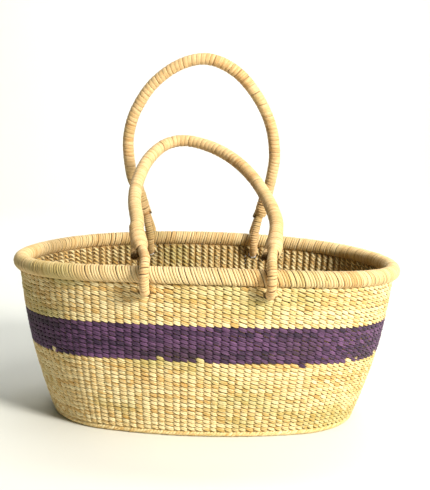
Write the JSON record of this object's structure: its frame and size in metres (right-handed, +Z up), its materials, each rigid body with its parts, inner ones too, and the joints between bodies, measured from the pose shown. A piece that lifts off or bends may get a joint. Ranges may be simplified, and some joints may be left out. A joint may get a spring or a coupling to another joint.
{
  "type": "woven market basket",
  "caption": "Oval twined-grass market basket with a rolled rim, a dark purple band and two wrapped bail handles that swing on loops round the rim.",
  "frame": {"origin": "middle of the footprint on the ground, under the base", "axes": "+X along the basket's long side, +Y from the front handle towards the back handle, +Z up"},
  "size_m": [0.476, 0.341, 0.4497],
  "materials": {
    "natural_grass": "dry twined grass, pale straw yellow with tan and greenish strands, matte with a faint sheen",
    "purple_grass": "dyed twined grass, deep violet with a few paler strands, matte with a faint sheen",
    "stake_grass": "bundled dry grass stalks, matte",
    "rim_grass": "close wrapping of flattened grass, golden tan, soft sheen",
    "handle_grass": "spiral wrapping of flattened grass, golden tan, soft sheen"
  },
  "bodies": {
    "basket": {"base_weave": "natural_grass", "base_stakes": "stake_grass", "foot_row": "natural_grass", "side_stakes": "stake_grass", "lower_weave": "natural_grass", "purple_band": "purple_grass", "upper_weave": "natural_grass", "rim_core": "stake_grass", "rim_binding": "rim_grass"},
    "front_handle": {"front_shank_core": "stake_grass", "front_shank_wrap": "handle_grass", "front_left_eye": "handle_grass", "front_right_eye": "handle_grass", "front_left_splice": "handle_grass", "front_right_splice": "handle_grass"},
    "back_handle": {"back_shank_core": "stake_grass", "back_shank_wrap": "handle_grass", "back_left_eye": "handle_grass", "back_right_eye": "handle_grass", "back_left_splice": "handle_grass", "back_right_splice": "handle_grass"}
  },
  "joints": [
    {"name": "front_handle_swing", "type": "hinge", "parent": "basket", "child": "front_handle", "pos_m": [0, -0.1458, 0.19481], "axis": [1, 0, 0], "range_deg": [-30, 150]},
    {"name": "back_handle_swing", "type": "hinge", "parent": "basket", "child": "back_handle", "pos_m": [0, 0.1458, 0.19481], "axis": [-1, 0, 0], "range_deg": [-40, 104]}
  ]
}
